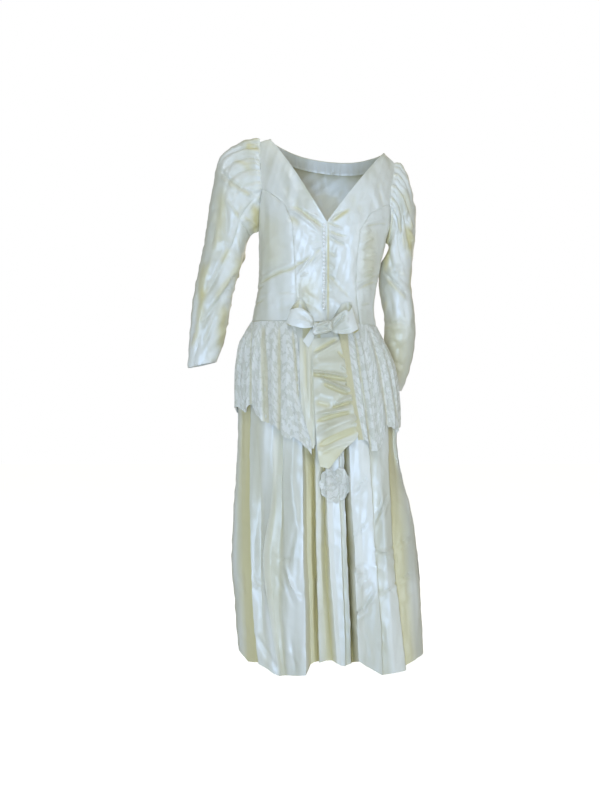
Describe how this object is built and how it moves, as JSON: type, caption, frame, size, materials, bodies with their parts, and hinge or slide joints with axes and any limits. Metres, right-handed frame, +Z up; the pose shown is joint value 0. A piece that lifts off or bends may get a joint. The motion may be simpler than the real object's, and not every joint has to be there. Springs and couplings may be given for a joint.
{
  "type": "wedding dress",
  "caption": "Long-sleeved satin wedding dress with a V neck, gathered sleeve heads, lace overskirt and waist bow, hanging open as if worn.",
  "frame": {"origin": "midway between the two shoulder seams, where the wearer's shoulders hold the dress", "axes": "+X to the viewer's right, -Y out of the front of the dress, +Z up"},
  "size_m": [0.6454, 0.3187, 1.4217],
  "materials": {
    "satin": "glossy ivory polyester satin",
    "lace": "matt cream floral lace",
    "satin_button": "satin-covered button"
  },
  "bodies": {
    "root": {"centre_front_left": "satin", "centre_front_right": "satin", "side_front_left": "satin", "side_front_right": "satin", "side_back_left": "satin", "side_back_right": "satin", "centre_back": "satin", "back_neck_facing": "satin", "sleeve_left": "satin", "sleeve_right": "satin", "skirt_front": "satin", "skirt_back": "satin", "lace_front_left": "lace", "lace_front_right": "lace", "lace_back": "lace", "drape_panel": "satin", "sash_end": "satin", "bow_end": "satin", "skirt_applique": "lace", "bow_loop_left": "satin", "bow_loop_right": "satin", "bow_knot": "satin", "button_01": "satin_button", "button_02": "satin_button", "button_03": "satin_button", "button_04": "satin_button", "button_05": "satin_button", "button_06": "satin_button", "button_07": "satin_button", "button_08": "satin_button", "button_09": "satin_button", "button_10": "satin_button", "button_11": "satin_button", "button_12": "satin_button", "button_13": "satin_button", "button_14": "satin_button", "button_15": "satin_button", "button_16": "satin_button", "button_17": "satin_button", "button_18": "satin_button", "button_19": "satin_button", "button_20": "satin_button", "button_21": "satin_button", "button_22": "satin_button", "button_23": "satin_button"}
  },
  "joints": []
}
